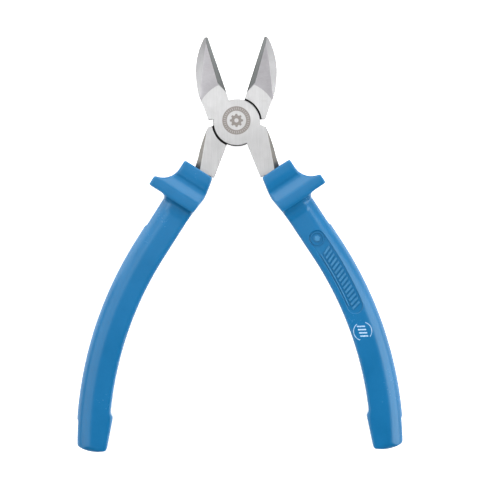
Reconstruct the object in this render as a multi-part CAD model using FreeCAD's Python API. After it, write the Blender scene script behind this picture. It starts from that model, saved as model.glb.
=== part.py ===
import FreeCAD, Part
import math
import os

# Diagonal cutting pliers with a riveted lap joint and moulded sleeves.
# Frame: the pivot axis is Z through the origin, the mid-plane of the joint is z = 0, the jaws point
# along +Y and the handles along -Y. Each half is first drawn closed, with its cutting edge on x = 0,
# and is then turned about the pivot to the open rest position. All sizes are in millimetres.

V = FreeCAD.Vector

# ---- driving dimensions --------------------------------------------------------------------------
OPENING = 18.2            # degrees each half is turned from closed, at rest
EDGE_GAP = 0.02           # each cutting edge stays this far from x = 0 at the tip
THROAT_GAP = 0.15         # and this far at the throat, so that the tips meet first
JOINT_HALF = 5.5          # half thickness of the ground joint
LAP_GAP = 0.05            # each lap disc stays this far from the mid-plane
DISC_R = 10.5             # lap disc
RECESS_R = 11.15          # round recess that the other half's disc turns in

JAW_TOP = 40.2            # y of the jaw's tip
LEDGE_X = 11.65           # half width of the head at its ledges
JAW_LEDGE_Y = 5.3         # outer corner of the jaw's lower ledge
SHANK_LEDGE_Y = -6.0      # outer corner of the shank's upper ledge
BOSS_R = 18.5             # the ground joint face ends at this radius, where the jaw starts to taper
JAW_TAPER_R = 42.0        # radius, just beyond the tip, where the jaw is TIP_HALF thick
TIP_HALF = 3.1            # half thickness of the jaw at its tip
BEVEL_TAN = 0.42          # cutting bevel: sideways run for each unit of depth
BEVEL_FOOT_Y = 14.2       # the cutting edge and its bevels end here
BEVEL_FOOT_SLOPE = 2.2    # the bevels' foot runs this many times further along the edge than across
CHAMFER_TAN = 1.2         # outer slope of the jaw: sideways run for each unit of depth

RIVET_R = 3.2             # rivet shaft
RIVET_HEAD_R = 4.3        # countersunk head, flush with the joint face
RIVET_SINK = 1.4          # depth of the countersink
RIVET_CLEARANCE = 0.05    # radial running clearance in the rear lever

BAND_C = V(-137.1, -107.0, 0)   # centre of the arcs that both grip and tang follow
GRIP_R_IN = 153.8         # inner side of the grip at its lower end
SCALLOP_R = 155.0         # inner side of the grip above that, a shallow scallop
GRIP_R_OUT = 169.3        # outer side of the grip
SPINE_R = 169.8           # raised strip down the outer side
SPINE_HALF = 2.6          # its half width
SPINE_TOP = 8.0           # its upper end, on the straight stretch
SPINE_END = -13.8         # its lower end, degrees about the band's centre
GRIP_HALF = 6.75          # half thickness of the grip

COLLAR = V(2.75, -26.7, 0)      # inner top corner of the collar
COLLAR_LEAN = 14.8        # lean in degrees of collar, guard and the straight stretch below them
COLLAR_WIDTH = 14.7
COLLAR_HALF = 8.3         # half thickness of the collar's lip
VALLEY_HALF = 7.4         # half thickness of the thumb valley
GUARD_HALF = 10.0         # half thickness of the guard flange
GUARD_SCOOP_R = 8.6       # quarter-round scoop in front of the flange
GUARD_TIP = 22.4          # the flange's reach across the handle
GUARD_TOP = 13.0          # the flange's upper side, measured down the handle
GUARD_BOTTOM = 17.7       # the flange's lower side
FLAT_REACH = 9.8          # how far across the band below the flange reaches, to the edge of the flat

TANG_R_IN = 158.4
TANG_R_OUT = 165.6
TANG_HALF = 4.0
TANG_END = -16.0          # degrees about the band's centre

PANEL_R = 161.2           # middle of the recessed panel on the flat of the grip
PANEL_WIDTH = 7.3
PANEL_DEPTH = 0.6
PANEL_FROM = 16.8         # degrees about the band's centre, middle of the upper round end
PANEL_TO = 4.6            # middle of the lower round end
BUTTON_R = 3.2            # raised disc in the panel's upper end

BIG = 400.0


# ---- helpers -------------------------------------------------------------------------------------
def arc(a, b, c):
    return Part.Arc(V(*a, 0), V(*b, 0), V(*c, 0)).toShape()


def line(a, b):
    return Part.makeLine(V(*a, 0), V(*b, 0))


def prism(edges, low, high):
    """Solid of a closed outline in the XY plane, from z = low to z = high."""
    face = Part.Face(Part.Wire(edges))
    face.translate(V(0, 0, low))
    return face.extrude(V(0, 0, high - low))


def lathe(profile, centre=V(0, 0, 0)):
    """Solid of revolution about the vertical line through centre; profile holds (radius, z)."""
    points = [centre + V(r, 0, z) for r, z in profile]
    face = Part.Face(Part.makePolygon(points + points[:1]))
    return face.revolve(centre, V(0, 0, 1), 360)


def half_space(point, normal):
    """A very large box that fills the side of the plane that the normal points to."""
    box = Part.makeBox(BIG, BIG, BIG, V(-BIG / 2, -BIG / 2, 0))
    box.Placement = FreeCAD.Placement(point, FreeCAD.Rotation(V(0, 0, 1), normal))
    return box


def on_band(radius, degrees):
    """Point of the handle's plan at a radius and an angle about the band's centre."""
    a = math.radians(degrees)
    return (BAND_C.x + radius * math.cos(a), BAND_C.y + radius * math.sin(a))


def on_guard(down, across):
    """Point of the guard's plan: down the handle and across it, from the collar's inner corner."""
    a = math.radians(COLLAR_LEAN)
    x = COLLAR.x + down * math.sin(a) + across * math.cos(a)
    y = COLLAR.y - down * math.cos(a) + across * math.sin(a)
    return (x, y)


def up_handle(radius, rise):
    """Point of the plan on the handle's straight stretch, this far above its lower end."""
    a = math.radians(COLLAR_LEAN)
    x, y = on_band(radius, COLLAR_LEAN)
    return (x - rise * math.sin(a), y + rise * math.cos(a))


def along_handle(half_section, rise, end_degrees):
    """Solid that follows the handle: curved up to COLLAR_LEAN, then straight for a given rise."""
    section = half_section + [(r, -z) for r, z in reversed(half_section)]
    points = [BAND_C + V(r, 0, z) for r, z in section]
    face = Part.Face(Part.makePolygon(points + points[:1]))
    face.rotate(BAND_C, V(0, 0, 1), COLLAR_LEAN)
    curved = face.revolve(BAND_C, V(0, 0, -1), COLLAR_LEAN - end_degrees)
    a = math.radians(COLLAR_LEAN)
    straight = face.extrude(V(-math.sin(a), math.cos(a), 0) * rise)
    return curved.fuse(straight)


def mirrored(shape):
    """The shape together with its image in the mid-plane, for details on both faces."""
    return shape.fuse(shape.mirror(V(0, 0, 0), V(0, 0, 1)))


# ---- levers --------------------------------------------------------------------------------------
def jaw():
    """Full-thickness jaw, before the lap joint is cut."""
    tip = (-EDGE_GAP, JAW_TOP)
    shoulder = (-2.1, 40.0)
    flank = (-11.3, 22.4)
    cheek = (-11.8, 11.5)
    ledge = (-LEDGE_X, JAW_LEDGE_Y)
    throat = (-THROAT_GAP, BEVEL_FOOT_Y)
    outline = [
        arc(tip, (-0.9, 40.5), shoulder),
        arc(shoulder, (-7.8, 32.5), flank),
        arc(flank, (-12.1, 16.5), cheek),
        line(cheek, ledge),
        line(ledge, (-8.0, 4.0)),
        line((-8.0, 4.0), (-THROAT_GAP, 0)),
        line((-THROAT_GAP, 0), throat),
        line(throat, tip),
    ]
    blank = prism(outline, -JOINT_HALF, JOINT_HALF)
    jaw_face = [(0, JOINT_HALF), (BOSS_R, JOINT_HALF), (JAW_TAPER_R, TIP_HALF)]
    lower = [(r, -z) for r, z in reversed(jaw_face)]
    shaped = blank.common(lathe(jaw_face + lower))
    return shaped.cut(cutting_bevels()).cut(outer_chamfers())


def cutting_bevels():
    """The two bevels that meet in the cutting edge, with their sloping foot."""
    reach = 8.0
    run = BEVEL_TAN * reach
    section = [V(0, 0, 0), V(-run, 0, reach), V(run, 0, reach)]
    wedge = Part.Face(Part.makePolygon(section + section[:1])).extrude(V(0, 40, 0))
    foot = half_space(V(0, 0, 0), V(-BEVEL_FOOT_SLOPE, -1, 0))
    relief = math.atan((THROAT_GAP - EDGE_GAP) / (JAW_TOP - BEVEL_FOOT_Y))
    bevel = wedge.cut(foot)
    bevel.rotate(V(0, 0, 0), V(0, 0, 1), -math.degrees(relief))
    bevel.translate(V(-THROAT_GAP, BEVEL_FOOT_Y, 0))
    return mirrored(bevel)


def outer_chamfers():
    """Broad slopes down the jaw's outer side, one on each face: a cone about a distant centre."""
    on_face = arc((0.9, 37.3), (-5.6, 27.0), (-10.3, 18.5)).Curve
    centre = on_face.Center
    at_face = on_face.Radius
    over = JOINT_HALF + 1
    under = 0.5
    outside = at_face + 30
    profile = [
        (at_face - CHAMFER_TAN, over),
        (outside, over),
        (outside, under),
        (at_face + CHAMFER_TAN * (JOINT_HALF - under), under),
    ]
    return mirrored(lathe(profile, centre))


def shank():
    """Full-thickness shank from the joint to the collar's mouth and a little into it."""
    ledge = (LEDGE_X, SHANK_LEDGE_Y)
    mouth_in = on_guard(0, 2.0)
    mouth_out = on_guard(0, 9.2)
    deep_in = on_guard(9.0, 1.4)
    deep_out = on_guard(9.0, 9.2)
    outline = [
        line((0.6, -4.0), (8.3, -3.3)),
        line((8.3, -3.3), ledge),
        arc(ledge, (12.05, -13.1), (11.7, -20.1)),
        line((11.7, -20.1), mouth_out),
        line(mouth_out, deep_out),
        line(deep_out, deep_in),
        line(deep_in, mouth_in),
        line(mouth_in, (2.24, -26.6)),
        arc((2.24, -26.6), (1.75, -18.5), (1.3, -10.0)),
        line((1.3, -10.0), (0.6, -4.0)),
    ]
    return prism(outline, -JOINT_HALF, JOINT_HALF).cut(shank_draft())


def shank_draft():
    """Sloping outer side that widens down the shank, on both faces."""
    start = V(11.9, SHANK_LEDGE_Y, JOINT_HALF)
    end = V(9.2, -25.0, JOINT_HALF)
    low = V(12.6, -25.0, 1.5)
    normal = (low - start).cross(end - start)
    if normal.x < 0:
        normal = normal * -1
    region = Part.makeBox(20, 38 + SHANK_LEDGE_Y, 20, V(0, -38, -1))
    return mirrored(half_space(start, normal).common(region))


def tang():
    """The part of the lever that the grip hides."""
    knee_in = on_guard(11.0, 1.6)
    top_in = on_guard(6.0, 1.4)
    top_out = on_guard(6.0, 9.2)
    join_in = on_band(TANG_R_IN, COLLAR_LEAN)
    join_out = on_band(TANG_R_OUT, COLLAR_LEAN)
    end_in = on_band(TANG_R_IN, TANG_END)
    end_out = on_band(TANG_R_OUT, TANG_END)
    end_mid = on_band((TANG_R_IN + TANG_R_OUT) / 2, TANG_END - 1.1)
    outline = [
        line(top_in, knee_in),
        line(knee_in, join_in),
        arc(join_in, on_band(TANG_R_IN, 0), end_in),
        arc(end_in, end_mid, end_out),
        arc(end_out, on_band(TANG_R_OUT, 0), join_out),
        line(join_out, top_out),
        line(top_out, top_in),
    ]
    return prism(outline, -TANG_HALF, TANG_HALF)


def rivet(clearance=0.0):
    sink = JOINT_HALF - RIVET_SINK
    half = [
        (0, JOINT_HALF),
        (RIVET_HEAD_R + clearance, JOINT_HALF),
        (RIVET_R + clearance, sink),
    ]
    return lathe(half + [(r, -z) for r, z in reversed(half)])


def lever(rivet_clearance):
    """A whole lever, drawn closed with its lap disc in the front half of the joint."""
    body = jaw().fuse(shank())
    rear = -JOINT_HALF - 1
    body = body.cut(Part.makeCylinder(RECESS_R, LAP_GAP - rear, V(0, 0, rear)))
    disc = Part.makeCylinder(DISC_R, JOINT_HALF - LAP_GAP, V(0, 0, LAP_GAP))
    body = body.fuse([disc, tang()])
    return body.cut(rivet(rivet_clearance)).removeSplitter()


# ---- grips ---------------------------------------------------------------------------------------
def grip_body():
    """Faceted sleeve below the guard, with its scalloped inner side and rounded lower end."""
    half = [
        (GRIP_R_IN, GRIP_HALF - 0.7),
        (GRIP_R_IN + 0.9, GRIP_HALF),
        (165.5, GRIP_HALF),
        (168.2, 5.3),
        (GRIP_R_OUT, 3.4),
    ]
    sleeve = along_handle(half, 28.0, -25.0)
    beyond = GRIP_R_OUT + 4
    inner_top = up_handle(SCALLOP_R, 30.0)
    outer_top = up_handle(beyond, 30.0)
    outline = [
        line(inner_top, on_band(SCALLOP_R, COLLAR_LEAN)),
        arc(on_band(SCALLOP_R, COLLAR_LEAN), on_band(SCALLOP_R, 0), on_band(SCALLOP_R, -12.4)),
        line(on_band(SCALLOP_R, -12.4), on_band(GRIP_R_IN, -13.0)),
        line(on_band(GRIP_R_IN, -13.0), (11.0, -156.4)),
        arc((11.0, -156.4), (11.3, -157.1), (12.1, -157.5)),
        arc((12.1, -157.5), (18.4, -159.3), (23.0, -159.0)),
        arc((23.0, -159.0), (25.6, -157.3), (26.9, -153.9)),
        line((26.9, -153.9), on_band(beyond, -15.0)),
        arc(on_band(beyond, -15.0), on_band(beyond, 0), on_band(beyond, COLLAR_LEAN)),
        line(on_band(beyond, COLLAR_LEAN), outer_top),
        line(outer_top, inner_top),
    ]
    return sleeve.common(prism(outline, -GRIP_HALF - 1, GRIP_HALF + 1))


def spine():
    """Raised strip along the middle of the sleeve's outer side."""
    return along_handle([(GRIP_R_OUT - 2, SPINE_HALF), (SPINE_R, SPINE_HALF)], SPINE_TOP, SPINE_END)


def guard():
    """Collar, thumb scoop and flange: plan and side view cut from one block."""
    fillet = 1.8
    body_side = 13.6
    inner = [on_guard(0, 0), on_guard(7.4, -1.5), on_guard(10.4, -1.8), on_guard(19.0, -0.9)]
    foot_in = on_guard(24.0, -0.7)
    foot_out = on_guard(24.0, FLAT_REACH)
    step_in = on_guard(GUARD_BOTTOM + fillet + 0.2, FLAT_REACH)
    scoop_start = on_guard(GUARD_TOP - GUARD_SCOOP_R, COLLAR_WIDTH)
    turn = GUARD_SCOOP_R * (1 - math.sqrt(0.5))
    scoop_mid = on_guard(GUARD_TOP - turn, COLLAR_WIDTH + turn)
    short = GUARD_SCOOP_R + COLLAR_WIDTH - GUARD_TIP
    scoop_end = on_guard(GUARD_TOP - GUARD_SCOOP_R + math.sqrt(GUARD_SCOOP_R**2 - short**2), GUARD_TIP)
    curl = fillet * (1 - math.sqrt(0.5))
    fillet_start = on_guard(GUARD_BOTTOM, body_side + fillet)
    fillet_mid = on_guard(GUARD_BOTTOM + curl, body_side + curl)
    fillet_end = on_guard(GUARD_BOTTOM + fillet, body_side)
    rim_low = on_guard(GUARD_BOTTOM, GUARD_TIP)
    plan = [
        line(on_guard(0, 0), on_guard(0, COLLAR_WIDTH)),
        line(on_guard(0, COLLAR_WIDTH), scoop_start),
        arc(scoop_start, scoop_mid, scoop_end),
        line(scoop_end, rim_low),
        line(rim_low, fillet_start),
        arc(fillet_start, fillet_mid, fillet_end),
        line(fillet_end, step_in),
        line(step_in, foot_out),
        line(foot_out, foot_in),
        line(foot_in, inner[3]),
        line(inner[3], inner[2]),
        line(inner[2], inner[1]),
        line(inner[1], inner[0]),
    ]
    return prism(plan, -GUARD_HALF, GUARD_HALF).common(guard_side())


def guard_side():
    """Side view of collar and flange, drawn down the handle and extruded across it."""
    half = [
        (-1.0, COLLAR_HALF),
        (4.0, COLLAR_HALF),
        (6.4, COLLAR_HALF - 0.3),
        (7.9, VALLEY_HALF),
        (8.3, VALLEY_HALF),
        (13.4, GUARD_HALF),
        (18.0, GUARD_HALF),
        (18.6, GRIP_HALF + 1.0),
        (19.4, GRIP_HALF + 0.3),
        (22.8, GRIP_HALF + 0.15),
        (23.2, 5.0),
    ]
    outline = half + [(u, -z) for u, z in reversed(half)]
    width = 30.0
    points = [V(-3.0, -u, z) for u, z in outline]
    block = Part.Face(Part.makePolygon(points + points[:1])).extrude(V(width, 0, 0))
    block.rotate(V(0, 0, 0), V(0, 0, 1), COLLAR_LEAN)
    block.translate(COLLAR)
    return block


def panel():
    """Recess on the grip's front flat, with a raised disc at its upper end."""
    r_in = PANEL_R - PANEL_WIDTH / 2
    r_out = PANEL_R + PANEL_WIDTH / 2
    end = math.degrees(PANEL_WIDTH / 2 / PANEL_R)
    middle = (PANEL_FROM + PANEL_TO) / 2
    outline = [
        arc(on_band(r_in, PANEL_FROM), on_band(PANEL_R, PANEL_FROM + end), on_band(r_out, PANEL_FROM)),
        arc(on_band(r_out, PANEL_FROM), on_band(r_out, middle), on_band(r_out, PANEL_TO)),
        arc(on_band(r_out, PANEL_TO), on_band(PANEL_R, PANEL_TO - end), on_band(r_in, PANEL_TO)),
        arc(on_band(r_in, PANEL_TO), on_band(r_in, middle), on_band(r_in, PANEL_FROM)),
    ]
    floor = GRIP_HALF - PANEL_DEPTH
    recess = prism(outline, floor, GRIP_HALF + 1)
    centre = on_band(PANEL_R, PANEL_FROM)
    button = Part.makeCylinder(BUTTON_R, PANEL_DEPTH - 0.05, V(*centre, floor))
    return recess.cut(button)


def grip(half_lever):
    """A whole sleeve, drawn closed on the lever that it is pressed on."""
    sleeve = grip_body().fuse([spine(), guard()])
    sleeve = sleeve.cut(panel())
    return sleeve.cut(half_lever).removeSplitter()


# ---- assembly ------------------------------------------------------------------------------------
def front(shape):
    turned = shape.copy()
    turned.rotate(V(0, 0, 0), V(0, 0, 1), OPENING)
    return turned


def rear(shape):
    turned = shape.copy()
    turned.rotate(V(0, 0, 0), V(0, 1, 0), 180)
    turned.rotate(V(0, 0, 0), V(0, 0, 1), -OPENING)
    return turned


def main():
    tight_lever = lever(0.0)
    free_lever = lever(RIVET_CLEARANCE)
    sleeve = grip(tight_lever)
    nodes = {
        "front_lever": front(tight_lever),
        "rear_lever": rear(free_lever),
        "pivot_rivet": front(rivet()),
        "front_grip": front(sleeve),
        "rear_grip": rear(sleeve),
    }
    os.makedirs("parts", exist_ok=True)
    for name, shape in nodes.items():
        solids = shape.Solids
        box = shape.BoundBox
        print(name, "solids", len(solids), "valid", shape.isValid(), "volume", round(shape.Volume, 1),
              "z", round(box.ZMin, 2), round(box.ZMax, 2))
        solids[0].exportStep("parts/" + name + ".step")


main()
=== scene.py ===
import math

import bmesh
import bpy
import numpy as np
from mathutils import Matrix, Vector


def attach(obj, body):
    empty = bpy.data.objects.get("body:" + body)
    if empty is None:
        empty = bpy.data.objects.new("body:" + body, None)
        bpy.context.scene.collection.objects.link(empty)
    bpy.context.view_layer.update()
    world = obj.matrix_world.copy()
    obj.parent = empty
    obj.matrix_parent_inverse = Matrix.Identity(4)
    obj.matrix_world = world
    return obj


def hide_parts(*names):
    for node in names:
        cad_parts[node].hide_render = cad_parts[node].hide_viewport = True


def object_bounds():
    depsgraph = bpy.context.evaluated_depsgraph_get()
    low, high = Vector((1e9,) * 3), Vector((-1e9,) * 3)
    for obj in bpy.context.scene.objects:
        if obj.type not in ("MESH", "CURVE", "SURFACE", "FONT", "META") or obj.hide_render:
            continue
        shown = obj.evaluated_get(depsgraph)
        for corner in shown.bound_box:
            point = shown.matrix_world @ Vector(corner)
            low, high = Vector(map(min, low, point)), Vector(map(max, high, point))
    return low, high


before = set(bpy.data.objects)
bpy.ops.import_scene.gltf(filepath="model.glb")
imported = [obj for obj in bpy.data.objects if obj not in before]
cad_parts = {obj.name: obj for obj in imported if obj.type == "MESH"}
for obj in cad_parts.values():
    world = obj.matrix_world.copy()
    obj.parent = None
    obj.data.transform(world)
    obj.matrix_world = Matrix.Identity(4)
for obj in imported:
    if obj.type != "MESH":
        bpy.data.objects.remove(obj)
CAD_LOW, CAD_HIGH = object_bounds()

# Diagonal cutting pliers. Shapes are drawn in millimetres, each half closed with its cutting edge on
# x = 0, the pivot axis at the origin and the jaws along +Y. A finished half is turned to its open
# rest position and scaled to metres.

MM = 0.001

# ---- sizes in millimetres and degrees ------------------------------------------------------------
OPENING = 18.2            # degrees each half is turned from closed, at rest
EDGE_GAP = 0.02           # each cutting edge stays this far from x = 0 at the tip
THROAT_GAP = 0.15         # and this far at the throat
JOINT_HALF = 5.5          # half thickness of the ground joint
LAP_GAP = 0.05            # each lap disc stays this far from the mid-plane
DISC_R = 10.5             # lap disc
RECESS_R = 11.15          # round recess that the other half's disc turns in
JAW_TOP = 40.2            # y of the jaw's tip
LEDGE_X = 11.65           # half width of the head at its ledges
JAW_LEDGE_Y = 5.3         # outer corner of the jaw's lower ledge
SHANK_LEDGE_Y = -6.0      # outer corner of the shank's upper ledge
BOSS_R = 18.5             # the ground joint face ends at this radius
JAW_TAPER_R = 42.0        # radius, just beyond the tip, where the jaw is TIP_HALF thick
TIP_HALF = 3.1            # half thickness of the jaw at its tip
BEVEL_TAN = 0.42          # cutting bevel: sideways run for each unit of depth
BEVEL_FOOT_Y = 14.2       # the cutting edge and its bevels end here
BEVEL_FOOT_SLOPE = 2.2    # the bevels' foot runs this many times further along the edge than across
CHAMFER_TAN = 1.2         # outer slope of the jaw: sideways run for each unit of depth
RIVET_R = 3.2             # rivet shaft
RIVET_HEAD_R = 4.3        # countersunk head, flush with the joint face
RIVET_SINK = 1.4          # depth of the countersink
RIVET_CLEARANCE = 0.05    # radial running clearance in the rear lever

BAND_C = (-137.1, -107.0)     # centre of the arcs that both grip and tang follow
GRIP_R_IN = 153.8         # inner side of the grip at its lower end
SCALLOP_R = 155.0         # inner side of the grip above that, a shallow scallop
GRIP_R_OUT = 169.3        # outer side of the grip
SPINE_R = 169.8           # raised strip down the outer side
SPINE_HALF = 2.6          # its half width
SPINE_TOP = 8.0           # its upper end, on the straight stretch
SPINE_END = -13.8         # its lower end, degrees about the band's centre
GRIP_HALF = 6.75          # half thickness of the grip
SHOULDER = 6.1            # width of the rounded shoulder beside the grip's flat
SHOULDER_R = 7.2

COLLAR = (2.75, -26.7)    # inner top corner of the collar
COLLAR_LEAN = 14.8        # lean in degrees of collar, guard and the straight stretch below them
COLLAR_WIDTH = 14.7
COLLAR_HALF = 8.3         # half thickness of the collar's lip
VALLEY_HALF = 7.4         # half thickness of the thumb valley
GUARD_HALF = 10.0         # half thickness of the guard flange
GUARD_SCOOP_R = 8.6       # scoop in front of the flange
GUARD_TIP = 22.4          # the flange's reach across the handle
GUARD_TOP = 13.0          # the flange's upper side, measured down the handle
GUARD_BOTTOM = 17.7       # the flange's lower side
FLAT_REACH = 9.8          # how far across the band below the flange reaches

TANG_R_IN = 158.4
TANG_R_OUT = 165.6
TANG_HALF = 4.0
TANG_END = -16.0          # degrees about the band's centre

PANEL_R = 161.2           # middle of the recessed panel on the flat of the grip
PANEL_WIDTH = 7.3
PANEL_DEPTH = 0.6
PANEL_FROM = 16.8         # degrees about the band's centre, middle of the upper round end
PANEL_TO = 4.6            # middle of the lower round end
RELIEF_TOP = GRIP_HALF - 0.12      # what stands in the panel stays this high, just under the flat
RELIEF_SINK = 0.2         # it starts this far below the panel's floor
RELIEF_DRAFT = 0.16       # how far its sides lean in, over the same height at the top
BADGE_R = 3.2             # raised ring in the panel's upper end
BADGE_BORE = 2.45
HEXAGON_R = 1.45          # raised hexagon inside the ring
BARS = 15                 # slanted bars along the panel
BARS_FROM, BARS_TO = 14.4, 4.6     # degrees about the band's centre
BARS_R = 161.65           # radius of the bars' middles
BAR_REACH = 2.05          # half a bar's length
BAR_HALF = 0.19           # half a bar's width, in degrees
BAR_SLANT = 0.3           # degrees along the handle between a bar's middle and its end
LINE_R = 158.55           # thin line beside the bars
LINE_WIDTH = 0.6
LINE_FROM, LINE_TO = 14.3, 5.0

MARK_AT = (160.2, 0.4)    # printed mark: radius and degrees about the band's centre
MARK_R = 4.2              # outside of its broken ring
MARK_LINE = 0.3           # width of the ring's line
MARK_ARCS = ((35, 145), (200, 325))
MARK_STROKES = 4
MARK_PITCH = 1.5          # from one stroke to the next
MARK_STROKE = 0.6         # a stroke's width
MARK_REACH = 1.7          # half a stroke's length across the handle
MARK_SLANT = 0.5          # how far along the handle each end of a stroke leans

EMBLEM_AT = (-0.15, 0.9)
EMBLEM_RING = (5.3, 1.0)  # mid radius and half width
EMBLEM_TICKS = 36
EMBLEM_TEETH = 8

EDGE_FLAT = 0.02          # how far the two bevels stop short of meeting in the cutting edge
EDGE_ROUND = 0.22         # rounding of the steel's edges
CREASE_ROUND = 1.3        # rounding between the jaw's face and its outer slope
RIM_BREAK = 0.35          # broken edge round the lap disc
SHADE_FROM, SHADE_TO = 143, 282      # bearings of the rim's stretch painted dark as shade, in degrees
SLEEVE_VOXEL = 0.38       # mesh size of the moulded sleeves
SLEEVE_SOFTENING = 19     # smoothing passes, which round the moulded edges
WEAR_HIGHLIGHT_STEP = 0.2           # shortest mesh edge that counts in full when wear and painted highlight are worked out
WEAR_HIGHLIGHT_SPREAD = 6           # smoothing passes over the wear and painted highlight


# ---- materials -----------------------------------------------------------------------------------
class Shader:
    """A node material with one Principled shader, and short ways to wire nodes to it."""

    def __init__(self, name):
        self.material = bpy.data.materials.new(name)
        self.material.use_nodes = True
        tree = self.material.node_tree
        tree.nodes.clear()
        self.nodes = tree.nodes
        self.links = tree.links
        output = self.nodes.new("ShaderNodeOutputMaterial")
        self.surface = self.nodes.new("ShaderNodeBsdfPrincipled")
        self.links.new(self.surface.outputs["BSDF"], output.inputs["Surface"])
        place = self.nodes.new("ShaderNodeTexCoord")
        self.place = self.scaled(place.outputs["Object"], (1 / MM, 1 / MM, 1 / MM))

    def put(self, socket, value):
        if isinstance(value, bpy.types.NodeSocket):
            self.links.new(value, socket)
        else:
            socket.default_value = value

    def set(self, **values):
        for name, value in values.items():
            self.put(self.surface.inputs[name.replace("_", " ")], value)

    def scaled(self, vector, scale):
        node = self.nodes.new("ShaderNodeVectorMath")
        node.operation = "MULTIPLY"
        self.put(node.inputs[0], vector)
        self.put(node.inputs[1], scale)
        return node.outputs[0]

    def math(self, operation, first, second=0.0, clamp=False):
        node = self.nodes.new("ShaderNodeMath")
        node.operation = operation
        node.use_clamp = clamp
        self.put(node.inputs[0], first)
        self.put(node.inputs[1], second)
        return node.outputs[0]

    def split(self, vector):
        node = self.nodes.new("ShaderNodeSeparateXYZ")
        self.put(node.inputs[0], vector)
        return node.outputs[0], node.outputs[1], node.outputs[2]

    def noise(self, scale, detail=3.0, rough=0.5, stretch=(1, 1, 1)):
        """Noise from 0 to 1 with features about 1 / scale millimetres across."""
        node = self.nodes.new("ShaderNodeTexNoise")
        self.put(node.inputs["Vector"], self.scaled(self.place, stretch))
        node.inputs["Scale"].default_value = scale
        node.inputs["Detail"].default_value = detail
        node.inputs["Roughness"].default_value = rough
        return node.outputs["Fac"]

    def attribute(self, name):
        node = self.nodes.new("ShaderNodeAttribute")
        node.attribute_name = name
        return node.outputs["Fac"]

    def ramp(self, value, low, high, to_low=0.0, to_high=1.0):
        """A clamped straight ramp: low gives to_low and high gives to_high."""
        node = self.nodes.new("ShaderNodeMapRange")
        node.clamp = True
        self.put(node.inputs["Value"], value)
        node.inputs["From Min"].default_value = low
        node.inputs["From Max"].default_value = high
        node.inputs["To Min"].default_value = to_low
        node.inputs["To Max"].default_value = to_high
        return node.outputs["Result"]

    def mix(self, factor, first, second):
        """Colour from first to second as the factor goes from 0 to 1."""
        node = self.nodes.new("ShaderNodeMix")
        node.data_type = "RGBA"
        self.put(node.inputs["Factor"], factor)
        for socket, value in ((node.inputs[6], first), (node.inputs[7], second)):
            self.put(socket, value if isinstance(value, bpy.types.NodeSocket) else (*value, 1.0))
        return node.outputs[2]

    def bump(self, height, distance, strength):
        node = self.nodes.new("ShaderNodeBump")
        node.inputs["Strength"].default_value = strength
        node.inputs["Distance"].default_value = distance
        self.put(node.inputs["Height"], height)
        self.put(self.surface.inputs["Normal"], node.outputs["Normal"])


def tint(colour, factor):
    return tuple(min(1.0, c * factor) for c in colour)


def steel(name, colour, rough, along=(1.0, 0.02, 0.02), contrast=0.10, metallic=1.0, slope=None,
          emblem=False):
    """Ground steel with grinding lines and faint blotches.

    It can take a darker colour where it slopes away from the face, painted shade on the slope, and it can
    carry the joint's etched emblem, with painted shade that darkens the steel towards the handles."""
    shader = Shader(name)
    fine = shader.noise(9.0, 4.0, 0.6, along)
    coarse = shader.noise(1.9, 2.0, 0.5, along)
    lines = shader.math("ADD", shader.math("MULTIPLY", fine, 0.7), shader.math("MULTIPLY", coarse, 0.3))
    lines = shader.ramp(lines, 0.32, 0.68)
    blotch = shader.ramp(shader.noise(0.16, 3.0), 0.3, 0.7)
    base = shader.mix(lines, tint(colour, 1 - contrast), tint(colour, 1 + contrast))
    # Painted shade: where the surface slopes away from the face, its colour turns to the darker slope
    # colour.
    if slope:
        form = shader.nodes.new("ShaderNodeNewGeometry")
        upright = shader.math("ABSOLUTE", shader.split(form.outputs["Normal"])[2])
        slope_shade = shader.mix(lines, tint(slope, 1 - contrast / 2), tint(slope, 1 + contrast / 2))
        base = shader.mix(shader.ramp(upright, 0.80, 0.985), slope_shade, base)
    base = shader.mix(shader.math("MULTIPLY", blotch, 0.12), base, (0.0, 0.0, 0.0))
    roughness = shader.math("ADD", shader.ramp(lines, 0, 1, rough - 0.05, rough + 0.05),
                            shader.ramp(blotch, 0, 1, -0.02, 0.03))
    if emblem:
        mask = emblem_mask(shader)
        # Painted shade: the joint's steel darkens down towards the handles.
        shade_down = shader.ramp(shader.split(shader.place)[1], -9.0, 8.0, 0.13, 0.0)
        base = shader.mix(shade_down, base, (0.0, 0.0, 0.0))
        base = shader.mix(mask, base, (0.15, 0.125, 0.11))
        roughness = shader.math("ADD", roughness, shader.math("MULTIPLY", mask, 0.22))
        metallic = shader.ramp(mask, 0, 1, metallic, 0.4)
    shader.set(Base_Color=base, Metallic=metallic, Roughness=roughness)
    shader.bump(lines, 0.004 * MM, 0.35)
    return shader.material


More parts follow.
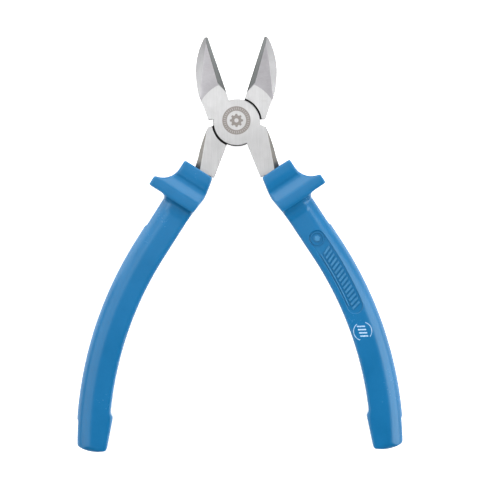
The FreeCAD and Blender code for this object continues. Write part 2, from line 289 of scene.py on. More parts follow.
def emblem_mask(shader):
    """A plain etched ring with ticks round a toothed wheel, on the joint's front face."""
    x, y, z = shader.split(shader.place)
    dx = shader.math("SUBTRACT", x, EMBLEM_AT[0])
    dy = shader.math("SUBTRACT", y, EMBLEM_AT[1])
    squares = shader.math("ADD", shader.math("MULTIPLY", dx, dx), shader.math("MULTIPLY", dy, dy))
    radius = shader.math("SQRT", squares)
    angle = shader.math("ARCTAN2", dy, dx)
    off_ring = shader.math("ABSOLUTE", shader.math("SUBTRACT", radius, EMBLEM_RING[0]))
    ring = shader.ramp(off_ring, EMBLEM_RING[1] - 0.08, EMBLEM_RING[1] + 0.08, 1, 0)
    beat = shader.math("COSINE", shader.math("MULTIPLY", angle, EMBLEM_TICKS))
    tick = shader.math("MULTIPLY", shader.ramp(beat, 0.35, 0.75), shader.ramp(off_ring, 0.42, 0.58, 1, 0))
    ring = shader.math("MULTIPLY", ring, shader.ramp(tick, 0, 1, 1, 0.55))
    teeth = shader.math("COSINE", shader.math("MULTIPLY", angle, EMBLEM_TEETH))
    rim = shader.ramp(teeth, -0.4, 0.4, 2.3, 2.95)
    wheel = shader.ramp(shader.math("SUBTRACT", rim, radius), -0.08, 0.08)
    hole = shader.ramp(radius, 0.85, 1.0)
    wheel = shader.math("MULTIPLY", wheel, hole)
    mask = shader.math("MAXIMUM", ring, wheel)
    grain = shader.ramp(shader.noise(3.5, 4.0, 0.7), 0.3, 0.7, 0.65, 1.0)
    front = shader.ramp(z, JOINT_HALF - 0.3, JOINT_HALF - 0.1)
    return shader.math("MULTIPLY", shader.math("MULTIPLY", mask, grain), front)


def plastic(name, colour):
    """Moulded semi-gloss plastic: flow marks, a fine grain, and edges rubbed a little lighter, partly wear
    and partly painted highlight.
    """
    shader = Shader(name)
    flow = shader.ramp(shader.noise(0.07, 3.0, 0.5), 0.3, 0.7)
    mottle = shader.ramp(shader.noise(0.9, 3.0, 0.6), 0.3, 0.7)
    base = shader.mix(flow, tint(colour, 0.93), tint(colour, 1.06))
    base = shader.mix(shader.math("MULTIPLY", mottle, 0.25), base, tint(colour, 1.12))
    # Partly wear, partly painted highlight: sharply turning edges are lightened.
    rubbed_and_lit = shader.ramp(shader.attribute("wear_and_highlight"), 0.4, 1.0, 0.0, 0.25)
    worn_and_lit = shader.math("MULTIPLY", rubbed_and_lit, shader.ramp(shader.noise(0.5, 4.0, 0.6), 0.3, 0.7, 0.4, 1.0))
    base = shader.mix(worn_and_lit, base, (0.16, 0.42, 0.66))
    grain = shader.noise(4.5, 2.0, 0.5)
    roughness = shader.math("ADD", shader.ramp(flow, 0, 1, 0.20, 0.25), shader.ramp(mottle, 0, 1, 0, 0.04))
    shader.set(Base_Color=base, Roughness=roughness, Specular_IOR_Level=0.45, IOR=1.5,
               Specular_Tint=(0.80, 0.97, 1.0, 1.0))
    shader.bump(grain, 0.02 * MM, 0.12)
    return shader.material


def print_ink(name):
    """White pad-printed ink, rubbed thin in places."""
    shader = Shader(name)
    rub = shader.ramp(shader.noise(1.3, 4.0, 0.7), 0.36, 0.66, 0.25, 0.85)
    shader.set(Base_Color=shader.mix(rub, (0.62, 0.74, 0.86), (0.06, 0.25, 0.47)), Roughness=0.5)
    shader.bump(rub, 0.01 * MM, 0.3)
    return shader.material


def paper(name):
    """Seamless studio paper for the floor."""
    shader = Shader(name)
    tone = shader.ramp(shader.noise(0.01, 2.0), 0.3, 0.7)
    shader.set(Base_Color=shader.mix(tone, (0.86, 0.86, 0.86), (0.88, 0.88, 0.88)), Roughness=0.9,
               Emission_Color=(1.0, 1.0, 1.0, 1.0), Emission_Strength=0.7)
    return shader.material


JOINT_STEEL = steel("joint_steel", (0.585, 0.585, 0.59), 0.36, metallic=0.8, emblem=True)
# The jaw steel's slope colour is painted shade on the jaw's outer slope.
JAW_STEEL = steel("jaw_steel", (0.41, 0.40, 0.42), 0.33, along=(0.35, 0.8, 0.1), contrast=0.10,
                  slope=(0.255, 0.255, 0.26))
# Near-black steel painted as shade on the cutting bevels.
EDGE_SHADE_STEEL = steel("edge_shade_steel", (0.062, 0.07, 0.07), 0.30, along=(1.0, 0.15, 0.3), contrast=0.30)
# Dark steel painted as shade on the levers' sides and the shank's sloping sides.
SIDE_SHADE_STEEL = steel("side_shade_steel", (0.15, 0.145, 0.135), 0.42, along=(0.3, 0.3, 1.0), contrast=0.16)
# Near-black steel painted as shade in the lap recess, in the rivet's hole and on the lap disc's side.
GAP_SHADE_STEEL = steel("gap_shade_steel", (0.05, 0.05, 0.05), 0.5, contrast=0.2)
RIVET_STEEL = steel("rivet_steel", (0.60, 0.60, 0.605), 0.33, metallic=0.8, emblem=True)
SLEEVE_PLASTIC = plastic("sleeve_plastic", (0.003, 0.108, 0.262))
MARK_INK = print_ink("mark_ink")


# ---- shapes --------------------------------------------------------------------------------------
def circle(a, b, c):
    """Centre and radius of the circle through three points."""
    (ax, ay), (bx, by), (cx, cy) = a, b, c
    d = 2 * (ax * (by - cy) + bx * (cy - ay) + cx * (ay - by))
    sa, sb, sc = ax * ax + ay * ay, bx * bx + by * by, cx * cx + cy * cy
    x = (sa * (by - cy) + sb * (cy - ay) + sc * (ay - by)) / d
    y = (sa * (cx - bx) + sb * (ax - cx) + sc * (bx - ax)) / d
    return x, y, math.hypot(ax - x, ay - y)


def curve(a, via, b, steps=24):
    """Points of the arc from a through via up to b, without b itself."""
    x, y, r = circle(a, via, b)
    angles = [math.atan2(p[1] - y, p[0] - x) for p in (a, via, b)]
    turn = 2 * math.pi
    sweep = (angles[2] - angles[0]) % turn
    if (angles[1] - angles[0]) % turn > sweep:
        sweep -= turn
    points = []
    for i in range(steps):
        angle = angles[0] + sweep * i / steps
        points.append((x + r * math.cos(angle), y + r * math.sin(angle)))
    return points


def new_piece(name, mesh_builder, material):
    mesh = bpy.data.meshes.new(name)
    mesh_builder.normal_update()
    bmesh.ops.recalc_face_normals(mesh_builder, faces=mesh_builder.faces)
    mesh_builder.to_mesh(mesh)
    mesh_builder.free()
    mesh.materials.append(material)
    piece = bpy.data.objects.new(name, mesh)
    bpy.context.scene.collection.objects.link(piece)
    return piece


def add_prism(bm, outline, low, high):
    bottom = [bm.verts.new((x, y, low)) for x, y in outline]
    top = [bm.verts.new((x, y, high)) for x, y in outline]
    bm.faces.new(bottom[::-1])
    bm.faces.new(top)
    for i, vertex in enumerate(bottom):
        j = (i + 1) % len(bottom)
        bm.faces.new((vertex, bottom[j], top[j], top[i]))


def prism(outline, low, high, material):
    bm = bmesh.new()
    add_prism(bm, outline, low, high)
    return new_piece("prism", bm, material)


def add_rings(bm, rings, close_sections):
    """Faces between successive rings of the same number of vertices."""
    for ring, following in zip(rings, rings[1:]):
        count = len(ring)
        for i in range(count if close_sections else count - 1):
            j = (i + 1) % count
            quad = []
            for vertex in (ring[i], ring[j], following[j], following[i]):
                if vertex not in quad:
                    quad.append(vertex)
            if len(quad) > 2:
                bm.faces.new(quad)


def add_lathe(bm, profile, centre, steps):
    """Surface of revolution about the upright line through centre; profile holds (radius, z).

    A profile that starts and ends on the axis is closed there by two flat faces."""
    turned = [(r, z) for r, z in profile if r > 0]
    capped = len(turned) < len(profile)
    rings = []
    for k in range(steps):
        a = 2 * math.pi * k / steps
        x, y = math.cos(a), math.sin(a)
        rings.append([bm.verts.new((centre[0] + r * x, centre[1] + r * y, z)) for r, z in turned])
    add_rings(bm, rings + rings[:1], not capped)
    if capped:
        bm.faces.new([ring[0] for ring in rings])
        bm.faces.new([ring[-1] for ring in reversed(rings)])


def lathe(profile, material, centre=(0, 0), steps=144):
    bm = bmesh.new()
    add_lathe(bm, profile, centre, steps)
    return new_piece("lathe", bm, material)


def cylinder(radius, low, high, material):
    return lathe([(0, low), (radius, low), (radius, high), (0, high)], material)


def on_band(radius, degrees):
    """Point of the handle's plan at a radius and an angle about the band's centre."""
    a = math.radians(degrees)
    return (BAND_C[0] + radius * math.cos(a), BAND_C[1] + radius * math.sin(a))


def on_guard(down, across):
    """Point of the guard's plan: down the handle and across it, from the collar's inner corner."""
    a = math.radians(COLLAR_LEAN)
    x = COLLAR[0] + down * math.sin(a) + across * math.cos(a)
    y = COLLAR[1] - down * math.cos(a) + across * math.sin(a)
    return (x, y)


def up_handle(radius, rise):
    """Point of the plan on the handle's straight stretch, this far above its lower end."""
    a = math.radians(COLLAR_LEAN)
    x, y = on_band(radius, COLLAR_LEAN)
    return (x - rise * math.sin(a), y + rise * math.cos(a))


def band_curve(radius, start, end, steps=40):
    return [on_band(radius, start + (end - start) * i / steps) for i in range(steps)]


def along_handle(half_section, rise, end_degrees, material):
    """Solid that follows the handle: curved up to COLLAR_LEAN, then straight for a given rise."""
    section = half_section + [(r, -z) for r, z in reversed(half_section)]
    bm = bmesh.new()
    rings = [[bm.verts.new((*up_handle(r, rise), z)) for r, z in section]]
    steps = 80
    for k in range(steps + 1):
        degrees = COLLAR_LEAN + (end_degrees - COLLAR_LEAN) * k / steps
        rings.append([bm.verts.new((*on_band(r, degrees), z)) for r, z in section])
    add_rings(bm, rings, True)
    bm.faces.new(rings[0][::-1])
    bm.faces.new(rings[-1])
    return new_piece("along_handle", bm, material)


def slab(corners, thickness_direction, material):
    """Solid swept from a planar outline of 3-D corners along a vector."""
    bm = bmesh.new()
    shift = Vector(thickness_direction)
    first = [bm.verts.new(Vector(p)) for p in corners]
    second = [bm.verts.new(Vector(p) + shift) for p in corners]
    bm.faces.new(first[::-1])
    bm.faces.new(second)
    add_rings(bm, [first, second], True)
    return new_piece("slab", bm, material)


def settle(piece):
    """Applies the piece's modifiers."""
    bpy.context.view_layer.update()
    graph = bpy.context.evaluated_depsgraph_get()
    mesh = bpy.data.meshes.new_from_object(piece.evaluated_get(graph))
    piece.modifiers.clear()
    piece.data = mesh


def combine(piece, operation, *tools):
    """Boolean of the piece with each tool in turn; a cut face takes the tool's material."""
    for tool in tools:
        step = piece.modifiers.new("combine", "BOOLEAN")
        step.operation = operation
        step.solver = "MANIFOLD"
        step.material_mode = "TRANSFER"
        step.object = tool
        settle(piece)
        bpy.data.objects.remove(tool)
    return piece


def move(piece, matrix):
    piece.data.transform(matrix)
    return piece


def copy_of(piece):
    twin = piece.copy()
    twin.data = piece.data.copy()
    bpy.context.scene.collection.objects.link(twin)
    return twin


def flipped(piece):
    """A copy of the piece mirrored in the joint's mid-plane."""
    twin = copy_of(piece)
    twin.data.transform(Matrix.Diagonal((1, 1, -1, 1)))
    twin.data.flip_normals()
    return twin


def both_faces(piece):
    return piece, flipped(piece)


# ---- levers --------------------------------------------------------------------------------------
def cutting_bevels():
    """Two wedges whose lower edges are the cutting edge, each with a sloping foot."""
    reach = 8.0
    run = BEVEL_TAN * reach
    section = [(EDGE_FLAT, 0, 0), (EDGE_FLAT - run, 0, reach), (run, 0, reach)]
    wedge = slab(section, (0, 40, 0), EDGE_SHADE_STEEL)
    normal = Vector((-BEVEL_FOOT_SLOPE, -1, 0)).normalized() * 60
    along = Vector((1, -BEVEL_FOOT_SLOPE, 0)).normalized() * 60
    base = Vector((0, 0, -1))
    foot = slab([base + along, base - along, base - along + normal, base + along + normal], (0, 0, 20),
                JOINT_STEEL)
    relief = math.atan((THROAT_GAP - EDGE_GAP) / (JAW_TOP - BEVEL_FOOT_Y))
    combine(wedge, "DIFFERENCE", foot)
    place = Matrix.Translation((-THROAT_GAP, BEVEL_FOOT_Y, 0)) @ Matrix.Rotation(-relief, 4, "Z")
    return both_faces(move(wedge, place))


def outer_chamfers():
    """Broad slopes down the jaw's outer side, one on each face."""
    x, y, at_face = circle((0.9, 37.3), (-5.6, 27.0), (-10.3, 18.5))
    over = JOINT_HALF + 1
    under = 0.5
    outside = at_face + 30
    profile = [
        (at_face - CHAMFER_TAN, over),
        (outside, over),
        (outside, under),
        (at_face + CHAMFER_TAN * (JOINT_HALF - under), under),
    ]
    return both_faces(lathe(profile, JAW_STEEL, (x, y), 360))


def jaw():
    tip = (-EDGE_GAP, JAW_TOP)
    shoulder = (-2.1, 40.0)
    flank = (-11.3, 22.4)
    cheek = (-11.8, 11.5)
    outline = curve(tip, (-0.9, 40.5), shoulder, 8)
    outline += curve(shoulder, (-7.8, 32.5), flank, 28)
    outline += curve(flank, (-12.1, 16.5), cheek, 14)
    outline += [
        cheek,
        (-LEDGE_X, JAW_LEDGE_Y),
        (-8.0, 4.0),
        (-THROAT_GAP, 0),
        (-THROAT_GAP, BEVEL_FOOT_Y),
    ]
    blank = prism(outline, -JOINT_HALF - 1, JOINT_HALF + 1, SIDE_SHADE_STEEL)
    dome = [(0, -JOINT_HALF), (BOSS_R, -JOINT_HALF), (JAW_TAPER_R, -TIP_HALF)]
    faces = lathe(dome + [(r, -z) for r, z in reversed(dome)], JOINT_STEEL, steps=180)
    faces.data.materials.append(JAW_STEEL)
    for face in faces.data.polygons:
        if math.hypot(face.center.x, face.center.y) > BOSS_R:
            face.material_index = 1
    combine(blank, "INTERSECT", faces)
    return combine(blank, "DIFFERENCE", *cutting_bevels(), *outer_chamfers())


def shank_draft():
    """Sloping outer side that widens down the shank, on both faces."""
    start = Vector((11.9, SHANK_LEDGE_Y, JOINT_HALF))
    end = Vector((9.2, -25.0, JOINT_HALF))
    low = Vector((12.6, -25.0, 1.5))
    normal = (low - start).cross(end - start).normalized()
    if normal.x < 0:
        normal.negate()
    along = (end - start).normalized()
    up = along.cross(normal)
    middle = (start + end) / 2
    corners = [middle + along * a + up * b for a, b in ((-30, -12), (30, -12), (30, 12), (-30, 12))]
    wedge = slab(corners, normal * 15, SIDE_SHADE_STEEL)
    region = prism([(0, -38), (20, -38), (20, SHANK_LEDGE_Y), (0, SHANK_LEDGE_Y)], -1, 19, SIDE_SHADE_STEEL)
    return both_faces(combine(wedge, "INTERSECT", region))


def shank():
    ledge = (LEDGE_X, SHANK_LEDGE_Y)
    outline = [(0.6, -4.0), (8.3, -3.3)]
    outline += curve(ledge, (12.05, -13.1), (11.7, -20.1), 12)
    outline += [(11.7, -20.1), on_guard(0, 9.2), on_guard(9.0, 9.2), on_guard(9.0, 1.4), on_guard(0, 2.0)]
    outline += curve((2.24, -26.6), (1.75, -18.5), (1.3, -10.0), 16)
    outline += [(1.3, -10.0)]
    body = prism(outline, -JOINT_HALF, JOINT_HALF, SIDE_SHADE_STEEL)
    body.data.materials.append(JOINT_STEEL)
    for face in body.data.polygons:
        face.material_index = int(abs(face.normal.z) > 0.5)
    return combine(body, "DIFFERENCE", *shank_draft())


def tang():
    outline = [on_guard(6.0, 1.4), on_guard(11.0, 1.6)]
    outline += band_curve(TANG_R_IN, COLLAR_LEAN, TANG_END)
    end_mid = on_band((TANG_R_IN + TANG_R_OUT) / 2, TANG_END - 1.1)
    outline += curve(on_band(TANG_R_IN, TANG_END), end_mid, on_band(TANG_R_OUT, TANG_END), 12)
    outline += band_curve(TANG_R_OUT, TANG_END, COLLAR_LEAN)
    outline += [on_band(TANG_R_OUT, COLLAR_LEAN), on_guard(6.0, 9.1)]
    return prism(outline, -TANG_HALF, TANG_HALF, SIDE_SHADE_STEEL)


def rivet(clearance, beyond, material):
    """The rivet, or the tool that cuts its hole, whose cones then run on beyond the joint's faces."""
    sink = JOINT_HALF - RIVET_SINK
    end = JOINT_HALF + beyond
    head = RIVET_HEAD_R + beyond * (RIVET_HEAD_R - RIVET_R) / RIVET_SINK
    half = [(0, -end), (head + clearance, -end), (RIVET_R + clearance, -sink)]
    return lathe(half + [(r, -z) for r, z in reversed(half)], material, steps=96)


def lap_disc():
    """Disc with a broken rim, whose side, and whose broken rim along the side that faces the other shank,
    are painted dark as shade.
    """
    rim = DISC_R - RIM_BREAK
    profile = [(0, LAP_GAP), (DISC_R, LAP_GAP), (DISC_R, JOINT_HALF - RIM_BREAK), (rim, JOINT_HALF),
               (0, JOINT_HALF)]
    disc = lathe(profile, GAP_SHADE_STEEL)
    disc.data.materials.append(JOINT_STEEL)
    for face in disc.data.polygons:
        bearing = math.degrees(math.atan2(face.center.y, face.center.x)) % 360
        in_shade = SHADE_FROM < bearing < SHADE_TO
        # Painted shade: the side, and within the shaded stretch the broken rim too, take the near-black
        # gap steel.
        face.material_index = int(face.normal.z > (0.9 if in_shade else 0.5))
    return disc


def lever():
    """A whole lever, drawn closed with its lap disc in the front half of the joint."""
    body = combine(jaw(), "UNION", shank())
    rear = -JOINT_HALF - 1
    # The recess's cut walls take the gap steel, painted shade.
    combine(body, "DIFFERENCE", cylinder(RECESS_R, rear, LAP_GAP, GAP_SHADE_STEEL))
    return combine(body, "UNION", lap_disc(), tang())


# ---- grips ---------------------------------------------------------------------------------------
def grip_body():
    """Sleeve below the guard: flat faces, rounded outer shoulders, a scalloped inner side."""
    half = [
        (GRIP_R_IN, GRIP_HALF - 0.7),
        (GRIP_R_IN + 0.9, GRIP_HALF),
    ]
    sweep = math.asin(SHOULDER / SHOULDER_R)
    for k in range(9):
        a = sweep * k / 8
        drop = SHOULDER_R * (1 - math.cos(a))
        half.append((GRIP_R_OUT - SHOULDER + SHOULDER_R * math.sin(a), GRIP_HALF - drop))
    sleeve = along_handle(half, 28.0, -25.0, SLEEVE_PLASTIC)
    beyond = GRIP_R_OUT + 4
    outline = [up_handle(SCALLOP_R, 30.0)]
    outline += band_curve(SCALLOP_R, COLLAR_LEAN, -12.4, 60)
    outline += [on_band(SCALLOP_R, -12.4), on_band(GRIP_R_IN, -13.0)]
    outline += curve((11.0, -156.4), (11.3, -157.1), (12.1, -157.5), 6)
    outline += curve((12.1, -157.5), (18.4, -159.3), (23.0, -159.0), 14)
    outline += curve((23.0, -159.0), (25.6, -157.3), (26.9, -153.9), 14)
    outline += [(26.9, -153.9)]
    outline += band_curve(beyond, -15.0, COLLAR_LEAN)
    outline += [on_band(beyond, COLLAR_LEAN), up_handle(beyond, 30.0)]
    plan = prism(outline, -GRIP_HALF - 1, GRIP_HALF + 1, SLEEVE_PLASTIC)
    combine(sleeve, "INTERSECT", plan)
    end_half = [(-159.8, 4.4), (-159.1, 5.6), (-158.1, 6.4), (-156.9, 6.85), (-60.0, 7.6), (10.0, 12.0)]
    side = end_half + [(y, -z) for y, z in reversed(end_half)]
    rounding = slab([(-30, y, z) for y, z in side], (90, 0, 0), SLEEVE_PLASTIC)
    return combine(sleeve, "INTERSECT", rounding)


def guard():
    """Collar, thumb scoop and flange: plan and side view cut from one block."""
    fillet = 1.8
    body_side = 13.6
    scoop_start = on_guard(GUARD_TOP - GUARD_SCOOP_R, COLLAR_WIDTH)
    turn = GUARD_SCOOP_R * (1 - math.sqrt(0.5))
    scoop_mid = on_guard(GUARD_TOP - turn, COLLAR_WIDTH + turn)
    short = GUARD_SCOOP_R + COLLAR_WIDTH - GUARD_TIP
    scoop_end = on_guard(GUARD_TOP - GUARD_SCOOP_R + math.sqrt(GUARD_SCOOP_R**2 - short**2), GUARD_TIP)
    curl = fillet * (1 - math.sqrt(0.5))
    fillet_start = on_guard(GUARD_BOTTOM, body_side + fillet)
    fillet_mid = on_guard(GUARD_BOTTOM + curl, body_side + curl)
    fillet_end = on_guard(GUARD_BOTTOM + fillet, body_side)
    plan = [on_guard(0, 0), on_guard(0, COLLAR_WIDTH)]
    plan += curve(scoop_start, scoop_mid, scoop_end, 24)
    plan += [scoop_end, on_guard(GUARD_BOTTOM, GUARD_TIP)]
    plan += curve(fillet_start, fillet_mid, fillet_end, 8)
    plan += [fillet_end, on_guard(GUARD_BOTTOM + fillet + 0.2, FLAT_REACH)]
    plan += [on_guard(24.0, FLAT_REACH), on_guard(24.0, -0.7)]
    plan += [on_guard(19.0, -0.9), on_guard(10.4, -1.8), on_guard(7.4, -1.5)]
    block = prism(plan, -GUARD_HALF, GUARD_HALF, SLEEVE_PLASTIC)
    return combine(block, "INTERSECT", guard_side())


def guard_side():
    """Side view of collar and flange, drawn down the handle and swept across it."""
    half = [
        (-1.0, COLLAR_HALF),
        (4.0, COLLAR_HALF),
        (6.4, COLLAR_HALF - 0.3),
        (7.9, VALLEY_HALF),
        (8.3, VALLEY_HALF),
        (9.3, 7.65),
        (10.3, 8.15),
        (11.4, 8.85),
        (12.4, 9.5),
        (13.4, 9.88),
        (14.6, GUARD_HALF),
        (18.0, GUARD_HALF),
        (18.6, GRIP_HALF + 1.0),
        (19.4, GRIP_HALF + 0.3),
        (22.8, GRIP_HALF + 0.15),
        (23.2, 5.0),
    ]
    outline = half + [(u, -z) for u, z in reversed(half)]
    block = slab([(-3.0, -u, z) for u, z in outline], (30.0, 0, 0), SLEEVE_PLASTIC)
    place = Matrix.Translation((*COLLAR, 0)) @ Matrix.Rotation(math.radians(COLLAR_LEAN), 4, "Z")
    return move(block, place)


def capsule(radius, width, start, end, steps=40):
    """Outline that follows the handle at a radius, with round ends at two angles."""
    half = width / 2
    r_in, r_out = radius - half, radius + half
    over = math.degrees(half / radius)
    outline = curve(on_band(r_in, start), on_band(radius, start + over), on_band(r_out, start), 16)
    outline += band_curve(r_out, start, end, steps)
    outline += curve(on_band(r_out, end), on_band(radius, end - over), on_band(r_in, end), 16)
    outline += band_curve(r_in, end, start, steps)
    return outline


def add_loft(bm, rings):
    """Closed solid through successive outlines, each given as points and a height."""
    loops = [[bm.verts.new((x, y, z)) for x, y in outline] for outline, z in rings]
    add_rings(bm, loops, True)
    bm.faces.new(loops[0][::-1])
    bm.faces.new(loops[-1])


def polygon(centre, radius, sides):
    angles = [2 * math.pi * k / sides for k in range(sides)]
    return [(centre[0] + radius * math.cos(a), centre[1] + radius * math.sin(a)) for a in angles]


def add_relief(bm, outline_at):
    """A raised shape whose sides lean in at its top; outline_at gives its outline at an inset."""
    floor = GRIP_HALF - PANEL_DEPTH - RELIEF_SINK
    full = outline_at(0.0)
    lean_from = RELIEF_TOP - RELIEF_DRAFT
    add_loft(bm, [(full, floor), (full, lean_from), (outline_at(RELIEF_DRAFT), RELIEF_TOP)])


def panel_recess():
    bm = bmesh.new()
    wide, draft = GRIP_HALF + 1, 0.3
    add_loft(bm, [
        (capsule(PANEL_R, PANEL_WIDTH - 2 * draft, PANEL_FROM, PANEL_TO), GRIP_HALF - PANEL_DEPTH),
        (capsule(PANEL_R, PANEL_WIDTH, PANEL_FROM, PANEL_TO), GRIP_HALF - PANEL_DEPTH + draft),
        (capsule(PANEL_R, PANEL_WIDTH + 0.2, PANEL_FROM, PANEL_TO), GRIP_HALF),
        (capsule(PANEL_R, PANEL_WIDTH + 0.2, PANEL_FROM, PANEL_TO), wide),
    ])
    return new_piece("recess", bm, SLEEVE_PLASTIC)


def panel_relief():
    """Ring with a hexagon, row of slanted bars and thin line that stand in the grip's recess."""
    floor = GRIP_HALF - PANEL_DEPTH - RELIEF_SINK
    bm = bmesh.new()
    centre = on_band(PANEL_R, PANEL_FROM)
    badge = [
        (BADGE_BORE, floor),
        (BADGE_R, floor),
        (BADGE_R - RELIEF_DRAFT, RELIEF_TOP),
        (BADGE_BORE + RELIEF_DRAFT, RELIEF_TOP),
    ]
    add_lathe(bm, badge, centre, 48)
    add_relief(bm, lambda inset: polygon(centre, HEXAGON_R - inset, 6))
    for k in range(BARS):
        degrees = BARS_FROM + (BARS_TO - BARS_FROM) * k / (BARS - 1)
        add_relief(bm, lambda inset, degrees=degrees: bar_outline(degrees, inset))
    add_relief(bm, lambda inset: capsule(LINE_R, LINE_WIDTH - 2 * inset, LINE_FROM, LINE_TO, 30))
    return new_piece("relief", bm, SLEEVE_PLASTIC)


def bar_outline(degrees, inset):
    corners = []
    half_width = BAR_HALF - math.degrees(inset / PANEL_R)
    for side, end in ((-1, -1), (1, -1), (1, 1), (-1, 1)):
        radius = BARS_R + end * (BAR_REACH - inset)
        corners.append(on_band(radius, degrees + side * half_width + end * BAR_SLANT))
    return corners


def sleeve():
    """A whole moulded sleeve, drawn closed on its lever, with softly rounded edges."""
    piece = grip_body()
    spine = along_handle([(GRIP_R_OUT - 2, SPINE_HALF), (SPINE_R, SPINE_HALF)], SPINE_TOP, SPINE_END,
                         SLEEVE_PLASTIC)
    combine(piece, "UNION", spine, guard())
    combine(piece, "DIFFERENCE", shank(), tang())
    remesh = piece.modifiers.new("remesh", "REMESH")
    remesh.mode = "VOXEL"
    remesh.voxel_size = SLEEVE_VOXEL
    soften = piece.modifiers.new("soften", "SMOOTH")
    soften.factor = 0.5
    soften.iterations = SLEEVE_SOFTENING
    settle(piece)
    combine(piece, "DIFFERENCE", panel_recess())
    combine(piece, "UNION", panel_relief())
    piece.data.materials.clear()
    piece.data.materials.append(SLEEVE_PLASTIC)
    return piece


# ---- the printed mark ----------------------------------------------------------------------------
def printed_mark():
    """A broken ring round four slanted strokes, printed on the front grip's flat."""
    bm = bmesh.new()
    low, high = GRIP_HALF - 0.12, GRIP_HALF + 0.02
    centre = Vector(on_band(*MARK_AT))
    down = Vector(on_band(MARK_AT[0], MARK_AT[1] - 1)) - centre
    down.normalize()
    across = Vector((-down.y, down.x))

    def at(u, v):
        p = centre + down * u + across * v
        return (p.x, p.y)

    def at_angle(radius, degrees):
        a = math.radians(degrees)
        return at(radius * math.cos(a), radius * math.sin(a))

    for start, end in MARK_ARCS:
        steps = 24
        angles = [start + (end - start) * k / steps for k in range(steps + 1)]
        outline = [at_angle(MARK_R, a) for a in angles]
        outline += [at_angle(MARK_R - MARK_LINE, a) for a in reversed(angles)]
        add_prism(bm, outline, low, high)
    for k in range(MARK_STROKES):
        u = (k - (MARK_STROKES - 1) / 2) * MARK_PITCH
        outline = []
        for end, side in ((-1, -1), (-1, 1), (1, 1), (1, -1)):
            outline.append(at(u + side * MARK_STROKE / 2 + end * MARK_SLANT, end * MARK_REACH))
        add_prism(bm, outline, low, high)
    return new_piece("size_mark", bm, MARK_INK)


# ---- assembly ------------------------------------------------------------------------------------
FRONT = Matrix.Rotation(math.radians(OPENING), 4, "Z")
REAR = Matrix.Rotation(math.radians(-OPENING), 4, "Z") @ Matrix.Rotation(math.pi, 4, "Y")
TO_METRES = Matrix.Diagonal((MM, MM, MM, 1))


def finish_piece(piece, name, turn, body, node=None):
    piece.name = name
    piece.data.name = name
    piece.data.transform(TO_METRES @ turn)
    piece.data.update()
    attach(piece, body)
    if node:
        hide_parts(node)
    return piece


def shade(piece, degrees):
    """Smooth shading except across edges sharper than the angle, with large faces kept flat."""
    for face in piece.data.polygons:
        face.use_smooth = True
    piece.data.set_sharp_from_angle(angle=math.radians(degrees))
    weighted = piece.modifiers.new("flatten", "WEIGHTED_NORMAL")
    weighted.keep_sharp = True
    weighted.weight = 100
    settle(piece)


def soften_crease(piece, width):
    """Wider rounding where the jaw's outer slope meets its face."""
    bm = bmesh.new()
    bm.from_mesh(piece.data)
    bmesh.ops.remove_doubles(bm, verts=bm.verts, dist=0.005)
    bmesh.ops.dissolve_degenerate(bm, dist=0.004, edges=bm.edges[:])
    bmesh.ops.dissolve_limit(bm, angle_limit=math.radians(0.05), verts=bm.verts[:], edges=bm.edges[:],
                             delimit={"MATERIAL"})
    ground = [i for i, slot in enumerate(piece.data.materials) if slot in (JAW_STEEL, JOINT_STEEL)]
    crease = []
    for edge in bm.edges:
        faces = edge.link_faces
        if len(faces) == 2 and all(face.material_index in ground for face in faces):
            rises = sorted(abs(face.normal.z) for face in faces)
            if rises[0] < 0.85 and rises[1] > 0.98:
                crease.append(edge)
    jaw_slot = piece.data.materials.find(JAW_STEEL.name)
    bmesh.ops.bevel(bm, geom=crease, offset=width, segments=4, profile=0.5, affect="EDGES",
                    clamp_overlap=True, material=jaw_slot)
    bm.to_mesh(piece.data)
    bm.free()


def round_edges(piece):
    """Fine rounding of the steel's edges."""
    weld = piece.modifiers.new("weld", "WELD")
    weld.merge_threshold = 0.005
    bevel = piece.modifiers.new("bevel", "BEVEL")
    bevel.width = EDGE_ROUND
    bevel.segments = 2
    bevel.limit_method = "ANGLE"
    bevel.angle_limit = math.radians(24)
    bevel.use_clamp_overlap = False
    settle(piece)


def mark_wear_and_highlight(piece):
    """Stores how sharply the surface turns outwards at each point, where hands rub it lighter and where a
    highlight is painted.
    """
    mesh = piece.data
    count = len(mesh.vertices)
    points = np.empty(count * 3)
    normals = np.empty(count * 3)
    ends = np.empty(len(mesh.edges) * 2, dtype=int)
    mesh.vertices.foreach_get("co", points)
    mesh.vertices.foreach_get("normal", normals)
    mesh.edges.foreach_get("vertices", ends)
    points, normals = points.reshape(-1, 3), normals.reshape(-1, 3)
    first, second = ends.reshape(-1, 2).T
    step = points[second] - points[first]
    turn = normals[second] - normals[first]
    length = np.maximum((step * step).sum(axis=1), WEAR_HIGHLIGHT_STEP**2)
    bend = (step * turn).sum(axis=1) / length
    wear_and_highlight = np.bincount(first, bend, count) + np.bincount(second, bend, count)
    neighbours = np.maximum(np.bincount(first, minlength=count) + np.bincount(second, minlength=count), 1)
    wear_and_highlight = wear_and_highlight / neighbours
    for _ in range(WEAR_HIGHLIGHT_SPREAD):
        around = np.bincount(first, wear_and_highlight[second], count) + np.bincount(second, wear_and_highlight[first], count)
        wear_and_highlight = 0.5 * wear_and_highlight + 0.5 * around / neighbours
    layer = mesh.attributes.new("wear_and_highlight", "FLOAT", "POINT")
    layer.data.foreach_set("value", wear_and_highlight.astype(np.float32))


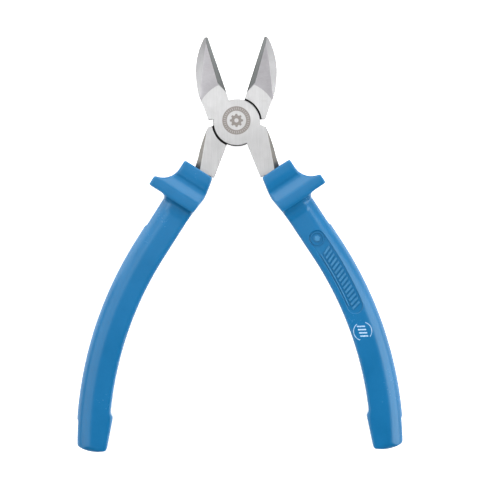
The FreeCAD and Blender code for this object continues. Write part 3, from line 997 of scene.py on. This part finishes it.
front_lever, rear_lever = lever(), lever()
for piece, clearance in ((front_lever, 0.0), (rear_lever, RIVET_CLEARANCE)):
    soften_crease(piece, CREASE_ROUND)
    round_edges(piece)
    combine(piece, "DIFFERENCE", rivet(clearance, 0.5, GAP_SHADE_STEEL))
pin = rivet(0.0, 0.0, RIVET_STEEL)
front_sleeve = sleeve()
for piece, degrees in ((front_lever, 40), (rear_lever, 40), (pin, 40), (front_sleeve, 60)):
    shade(piece, degrees)
mark_wear_and_highlight(front_sleeve)
rear_sleeve = copy_of(front_sleeve)
mark = printed_mark()

finish_piece(front_lever, "front_lever_steel", FRONT, "front_half", "front_lever")
finish_piece(rear_lever, "rear_lever_steel", REAR, "rear_half", "rear_lever")
finish_piece(pin, "pivot_rivet_steel", FRONT, "front_half", "pivot_rivet")
finish_piece(front_sleeve, "front_sleeve", FRONT, "front_half", "front_grip")
finish_piece(rear_sleeve, "rear_sleeve", REAR, "rear_half", "rear_grip")
finish_piece(mark, "size_mark", FRONT, "front_half")


# ---- floor, light and camera ---------------------------------------------------------------------
def floor():
    bm = bmesh.new()
    half = 4.0
    corners = [(-half, -half), (half, -half), (half, half), (-half, half)]
    bm.faces.new([bm.verts.new((x, y, CAD_LOW.z)) for x, y in corners])
    sheet = new_piece("floor", bm, paper("studio_paper"))


def softbox(name, place, size, radiance, aim):
    """Rectangular area light that faces a point; radiance is its brightness beside white paper."""
    data = bpy.data.lights.new(name, "AREA")
    data.shape = "RECTANGLE"
    data.size, data.size_y = size
    data.energy = radiance * math.pi * size[0] * size[1]
    lamp = bpy.data.objects.new(name, data)
    lamp.location = place
    lamp.rotation_euler = (Vector(aim) - Vector(place)).to_track_quat("-Z", "Y").to_euler()
    lamp.visible_camera = False
    bpy.context.scene.collection.objects.link(lamp)


def sky(zenith, horizon, near_side):
    """Soft surroundings, dimmer overhead than at the horizon, and dimmer beyond the handles' ends."""
    world = bpy.data.worlds.new("surroundings")
    world.use_nodes = True
    nodes, links = world.node_tree.nodes, world.node_tree.links
    background = nodes["Background"]
    place = nodes.new("ShaderNodeTexCoord")
    parts = nodes.new("ShaderNodeSeparateXYZ")
    height = nodes.new("ShaderNodeMapRange")
    height.inputs["From Min"].default_value = 0.0
    height.inputs["From Max"].default_value = 0.95
    height.inputs["To Min"].default_value = horizon
    height.inputs["To Max"].default_value = zenith
    links.new(place.outputs["Generated"], parts.inputs[0])
    links.new(parts.outputs[2], height.inputs["Value"])
    side = nodes.new("ShaderNodeMapRange")
    side.inputs["From Min"].default_value = -0.9
    side.inputs["From Max"].default_value = 0.3
    side.inputs["To Min"].default_value = near_side
    side.inputs["To Max"].default_value = 1.0
    product = nodes.new("ShaderNodeMath")
    product.operation = "MULTIPLY"
    links.new(parts.outputs[1], side.inputs["Value"])
    links.new(height.outputs["Result"], product.inputs[0])
    links.new(side.outputs["Result"], product.inputs[1])
    links.new(product.outputs[0], background.inputs["Strength"])
    background.inputs["Color"].default_value = (1.0, 1.0, 1.0, 1.0)
    bpy.context.scene.world = world


floor()
centre = (CAD_LOW + CAD_HIGH) / 2
softbox("left_box", (-0.85, centre.y, 0.95), (1.1, 1.4), 1.9, (0, centre.y, 0))
softbox("right_box", (1.0, centre.y, 0.75), (1.0, 1.4), 4.0, (0, centre.y, 0))
softbox("top_box", (0, centre.y + 1.1, 0.8), (2.2, 0.9), 3.0, (0, centre.y, 0))
softbox("head_box", (-0.05, 0.085, 0.55), (0.34, 0.29), 1.2, (-0.05, 0.085, 0))
softbox("jaw_box", (-0.17, 0.03, 0.035), (0.08, 0.11), 2.3, (-0.015, 0.02, 0))
sky(0.10, 0.90, 0.45)

CAMERA_HEIGHT = 2.5
VIEW_WIDTH = 213.9            # millimetres of the object's plane across the frame
VIEW_AT = (0.9, -52.3)        # millimetres
CAMERA_ROLL = -0.57           # degrees

camera_data = bpy.data.cameras.new("camera")
camera_data.sensor_width = 36.0
camera_data.lens = camera_data.sensor_width * CAMERA_HEIGHT / (VIEW_WIDTH * MM)
camera = bpy.data.objects.new("camera", camera_data)
camera.location = (VIEW_AT[0] * MM, VIEW_AT[1] * MM, CAMERA_HEIGHT)
camera.rotation_euler = (0, 0, math.radians(CAMERA_ROLL))
bpy.context.scene.collection.objects.link(camera)
bpy.context.scene.camera = camera
bpy.context.scene.view_settings.view_transform = "Standard"
